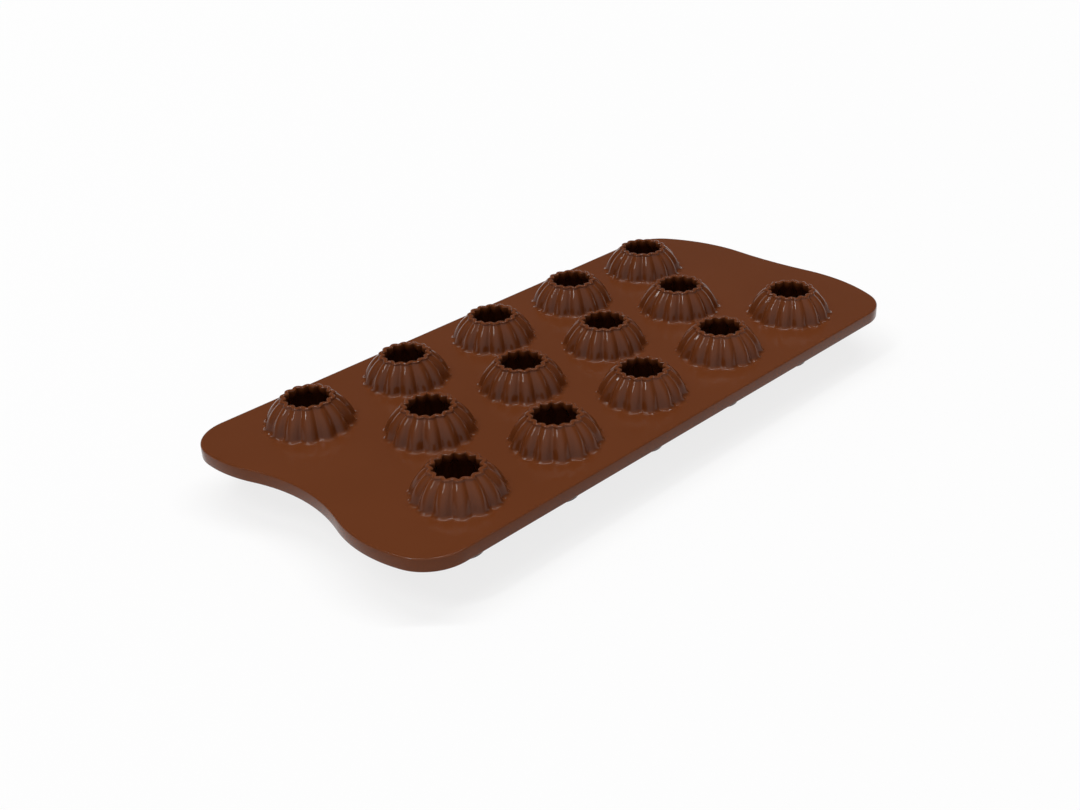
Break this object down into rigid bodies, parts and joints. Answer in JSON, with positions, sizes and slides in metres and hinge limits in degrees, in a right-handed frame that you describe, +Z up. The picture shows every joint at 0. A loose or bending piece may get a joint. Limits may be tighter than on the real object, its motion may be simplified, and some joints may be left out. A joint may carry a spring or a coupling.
{
  "type": "silicone sphere mould",
  "caption": "Flexible kitchen mould: a thin plate with a wavy outline carrying staggered rows of hollow fluted balls, each filled through an open collar on top.",
  "frame": {"origin": "On the ground plane, under the middle of the mould's box.", "axes": "X runs along the plate towards the end with the shallower dip, Y across it, Z up out of the mouths."},
  "size_m": [0.22, 0.1054, 0.0262],
  "materials": {
    "silicone": "glossy"
  },
  "bodies": {
    "root": {"silicone_mould": "silicone"}
  },
  "joints": []
}
